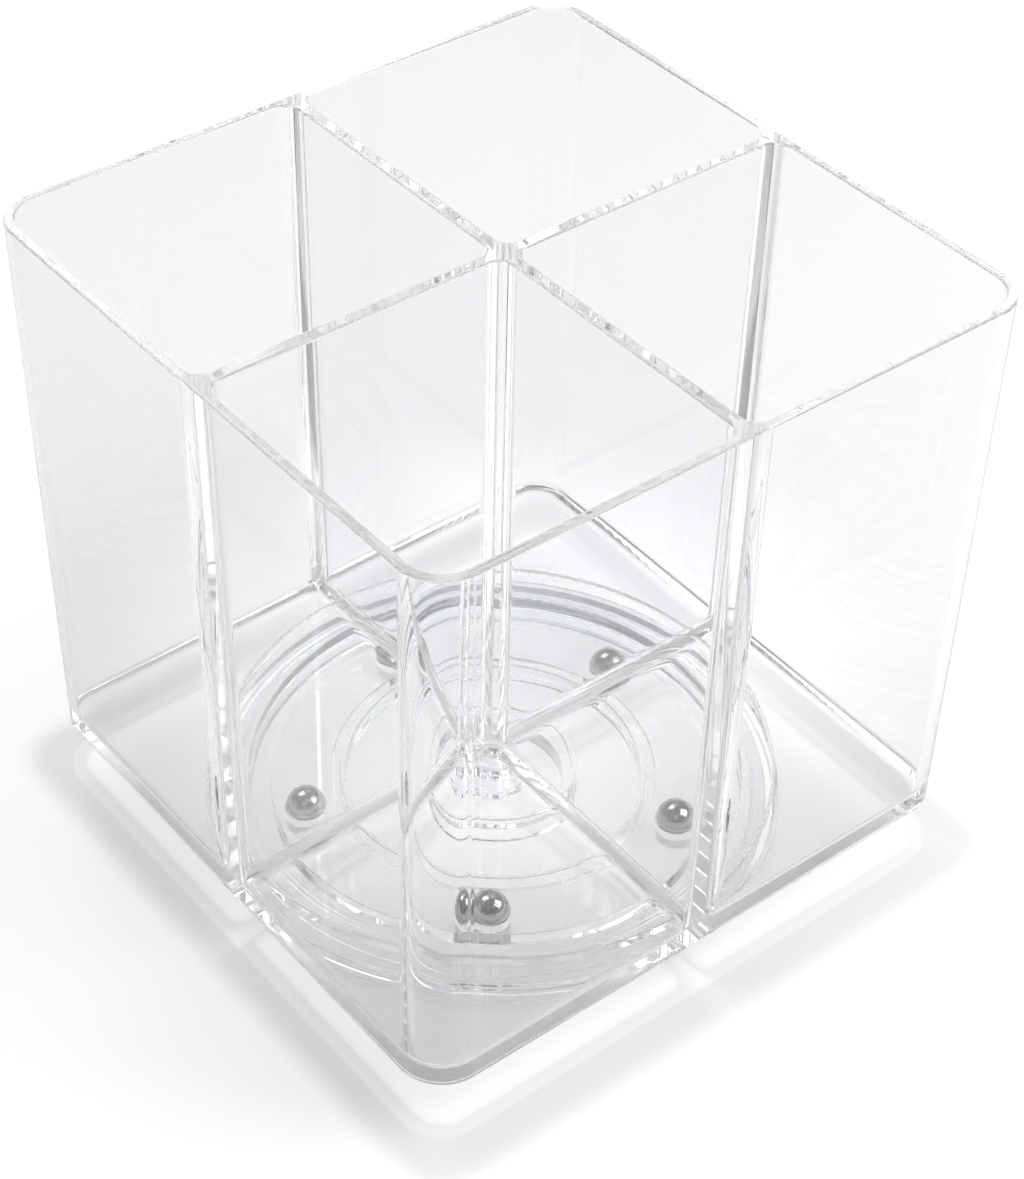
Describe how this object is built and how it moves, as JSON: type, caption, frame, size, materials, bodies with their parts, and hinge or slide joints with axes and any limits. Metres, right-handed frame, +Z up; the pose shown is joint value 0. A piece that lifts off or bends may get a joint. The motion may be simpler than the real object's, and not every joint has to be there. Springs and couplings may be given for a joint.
{
  "type": "rotating pen holder",
  "caption": "Square clear desk bin with a cross of dividers, open at the top, turning on a low round ball-bearing base.",
  "frame": {"origin": "on the table under the turning axis, at the centre of the base", "axes": "+Z up along the turning axis, bin walls square to X and Y at rest"},
  "size_m": [0.127, 0.127, 0.1294],
  "materials": {
    "clear_bin": "polished",
    "clear_disc": "polished",
    "clear_pin": "polished",
    "clear_base": "polished",
    "clear_soft_ring": "polished",
    "clear_washer": "polished",
    "clear_cage": "polished",
    "polished_steel": "polished"
  },
  "bodies": {
    "base": {"base_dish": "clear_base", "foot_ring": "clear_soft_ring", "slip_washer": "clear_washer"},
    "bin": {"divided_bin": "clear_bin", "turntable_disc": "clear_disc", "centre_pin": "clear_pin"},
    "cage": {"ball_cage": "clear_cage"},
    "ball_1": {"steel_ball_1": "polished_steel"},
    "ball_2": {"steel_ball_2": "polished_steel"},
    "ball_3": {"steel_ball_3": "polished_steel"},
    "ball_4": {"steel_ball_4": "polished_steel"},
    "ball_5": {"steel_ball_5": "polished_steel"}
  },
  "joints": [
    {"name": "bin_spin", "type": "hinge", "parent": "base", "child": "bin", "pos_m": [0, 0, 0.0068], "axis": [0, 0, 1], "continuous": true},
    {"name": "cage_orbit", "type": "hinge", "parent": "base", "child": "cage", "pos_m": [0, 0, 0.0068], "axis": [0, 0, 1], "continuous": true},
    {"name": "ball_1_roll", "type": "hinge", "parent": "cage", "child": "ball_1", "pos_m": [0.03687, 0.00919, 0.0068], "axis": [0.9703, 0.2419, 0], "continuous": true},
    {"name": "ball_2_roll", "type": "hinge", "parent": "cage", "child": "ball_2", "pos_m": [0.00265, 0.03791, 0.0068], "axis": [0.0698, 0.9976, 0], "continuous": true},
    {"name": "ball_3_roll", "type": "hinge", "parent": "cage", "child": "ball_3", "pos_m": [-0.03523, 0.01423, 0.0068], "axis": [-0.9272, 0.3746, 0], "continuous": true},
    {"name": "ball_4_roll", "type": "hinge", "parent": "cage", "child": "ball_4", "pos_m": [-0.02443, -0.02911, 0.0068], "axis": [-0.6428, -0.766, 0], "continuous": true},
    {"name": "ball_5_roll", "type": "hinge", "parent": "cage", "child": "ball_5", "pos_m": [0.02014, -0.03223, 0.0068], "axis": [0.5299, -0.848, 0], "continuous": true}
  ],
  "couplings": [
    {"joint": "cage_orbit", "follows": "bin_spin", "ratio": 0.5},
    {"joint": "ball_1_roll", "follows": "bin_spin", "ratio": -5.0667},
    {"joint": "ball_2_roll", "follows": "bin_spin", "ratio": -5.0667},
    {"joint": "ball_3_roll", "follows": "bin_spin", "ratio": -5.0667},
    {"joint": "ball_4_roll", "follows": "bin_spin", "ratio": -5.0667},
    {"joint": "ball_5_roll", "follows": "bin_spin", "ratio": -5.0667}
  ]
}
